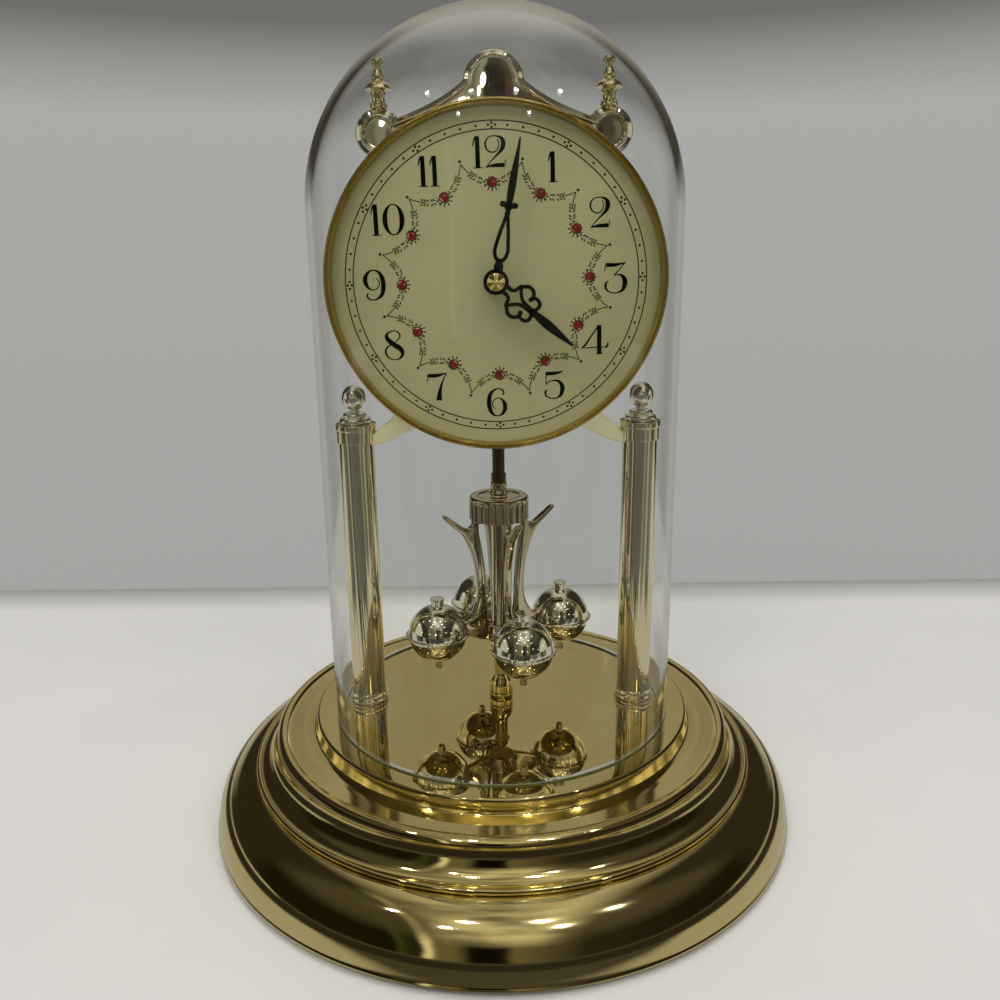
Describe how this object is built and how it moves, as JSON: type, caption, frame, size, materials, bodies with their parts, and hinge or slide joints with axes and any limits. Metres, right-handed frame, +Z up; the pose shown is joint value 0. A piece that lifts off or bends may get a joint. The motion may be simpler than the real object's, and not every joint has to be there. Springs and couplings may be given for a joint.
{
  "type": "desk clock",
  "caption": "Anniversary desk clock: stepped round brass base, clear glass dome, twin pillars, round floral dial and a slowly turning ball pendulum.",
  "frame": {"origin": "middle of the base where it stands on the table, on the pendulum's axis", "axes": "+Z up along the pendulum's axis, -Y out of the dial towards the viewer, +X to the viewer's right"},
  "size_m": [0.19, 0.19, 0.247],
  "materials": {
    "shell_brass": "polished",
    "plate_board": "matt",
    "felt": "felt",
    "steel": "satin",
    "pale_brass": "polished plate",
    "case_plastic": "matt",
    "dial_enamel": "semi-gloss",
    "battery_wrap": "gloss",
    "contact_brass": "satin",
    "copper": "lacquered wire",
    "magnet": "matt",
    "gear_plastic": "matt",
    "knob_plastic": "gloss",
    "board_green": "lacquer",
    "can_metal": "satin",
    "hand_black": "satin black",
    "bronze": "dark bronze",
    "chrome_gold": "champagne plate",
    "glass": "clear"
  },
  "bodies": {
    "base": {"base_shell": "shell_brass", "base_plate": "plate_board", "base_pads": "felt", "plate_screws": "steel", "guide_post": "shell_brass", "deck_nuts": "steel", "pillar_left": "pale_brass", "pillar_right": "pale_brass", "pillar_feet": "pale_brass", "tie_rods": "steel", "finial_left": "pale_brass", "finial_right": "pale_brass", "movement_bridge": "pale_brass", "bridge_screws": "steel", "drum_case": "case_plastic", "bezel": "shell_brass", "dial_plate": "dial_enamel", "crest": "pale_brass", "crest_finials": "pale_brass", "rear_cover": "case_plastic", "cover_screws": "steel", "battery": "battery_wrap", "battery_contacts": "contact_brass", "front_plate": "contact_brass", "back_plate": "contact_brass", "plate_posts": "steel", "stator": "steel", "motor_coil": "copper", "circuit_board": "board_green", "quartz_crystal": "can_metal", "drive_bracket": "case_plastic", "drive_coil": "copper"},
    "dome": {"glass_dome": "glass"},
    "pendulum": {"suspension_rod": "bronze", "pendulum_collar": "chrome_gold", "pendulum_cap": "chrome_gold", "pendulum_column": "chrome_gold", "pendulum_arms": "chrome_gold", "ball_uppers": "chrome_gold", "ball_lowers": "chrome_gold", "drive_magnet": "magnet"},
    "minute_shaft": {"minute_arbor": "steel", "minute_hand": "hand_black", "hand_nut": "shell_brass"},
    "hour_pipe": {"hour_wheel": "gear_plastic", "hour_hand": "hand_black"},
    "minute_wheel": {"minute_wheel": "gear_plastic"},
    "setting_knob": {"set_knob": "knob_plastic"},
    "rotor": {"rotor": "magnet"},
    "intermediate": {"intermediate_wheel": "gear_plastic"},
    "seconds": {"seconds_wheel": "gear_plastic"},
    "third": {"third_wheel": "gear_plastic"},
    "centre": {"centre_wheel": "gear_plastic"},
    "door": {"battery_door": "case_plastic"}
  },
  "joints": [
    {"name": "dome_lift", "type": "slide", "parent": "base", "child": "dome", "axis": [0, 0, 1], "range_m": [0, 0.21]},
    {"name": "pendulum_turn", "type": "hinge", "parent": "base", "child": "pendulum", "pos_m": [0, 0, 0.08], "axis": [0, 0, 1], "range_deg": [-135, 135]},
    {"name": "minute_turn", "type": "hinge", "parent": "base", "child": "minute_shaft", "pos_m": [0, 0, 0.17232], "axis": [0, 1, 0], "continuous": true},
    {"name": "hour_turn", "type": "hinge", "parent": "base", "child": "hour_pipe", "pos_m": [0, 0, 0.17232], "axis": [0, 1, 0], "continuous": true},
    {"name": "minute_wheel_turn", "type": "hinge", "parent": "base", "child": "minute_wheel", "pos_m": [0, 0, 0.18132], "axis": [0, 1, 0], "continuous": true},
    {"name": "setting_turn", "type": "hinge", "parent": "base", "child": "setting_knob", "pos_m": [-0.00846, 0, 0.17824], "axis": [0, 1, 0], "continuous": true},
    {"name": "rotor_turn", "type": "hinge", "parent": "base", "child": "rotor", "pos_m": [-0.0106, 0, 0.16357], "axis": [0, 1, 0], "continuous": true},
    {"name": "intermediate_turn", "type": "hinge", "parent": "base", "child": "intermediate", "pos_m": [-0.00384, 0, 0.16176], "axis": [0, 1, 0], "continuous": true},
    {"name": "seconds_turn", "type": "hinge", "parent": "base", "child": "seconds", "pos_m": [0.00354, 0, 0.16046], "axis": [0, 1, 0], "continuous": true},
    {"name": "third_turn", "type": "hinge", "parent": "base", "child": "third", "pos_m": [0.00779, 0, 0.16782], "axis": [0, 1, 0], "continuous": true},
    {"name": "centre_turn", "type": "hinge", "parent": "base", "child": "centre", "pos_m": [0, 0, 0.17232], "axis": [0, 1, 0], "continuous": true},
    {"name": "battery_door", "type": "hinge", "parent": "base", "child": "door", "pos_m": [0, 0.0119, 0.18662], "axis": [-1, 0, 0], "range_deg": [0, 100]}
  ],
  "couplings": [
    {"joint": "hour_turn", "follows": "minute_turn", "ratio": 0.083333},
    {"joint": "minute_wheel_turn", "follows": "minute_turn", "ratio": -0.33333},
    {"joint": "setting_turn", "follows": "minute_turn", "ratio": 1},
    {"joint": "intermediate_turn", "follows": "rotor_turn", "ratio": -0.16667},
    {"joint": "seconds_turn", "follows": "rotor_turn", "ratio": 0.033333},
    {"joint": "third_turn", "follows": "rotor_turn", "ratio": -0.0044444},
    {"joint": "centre_turn", "follows": "rotor_turn", "ratio": 0.00055556}
  ]
}
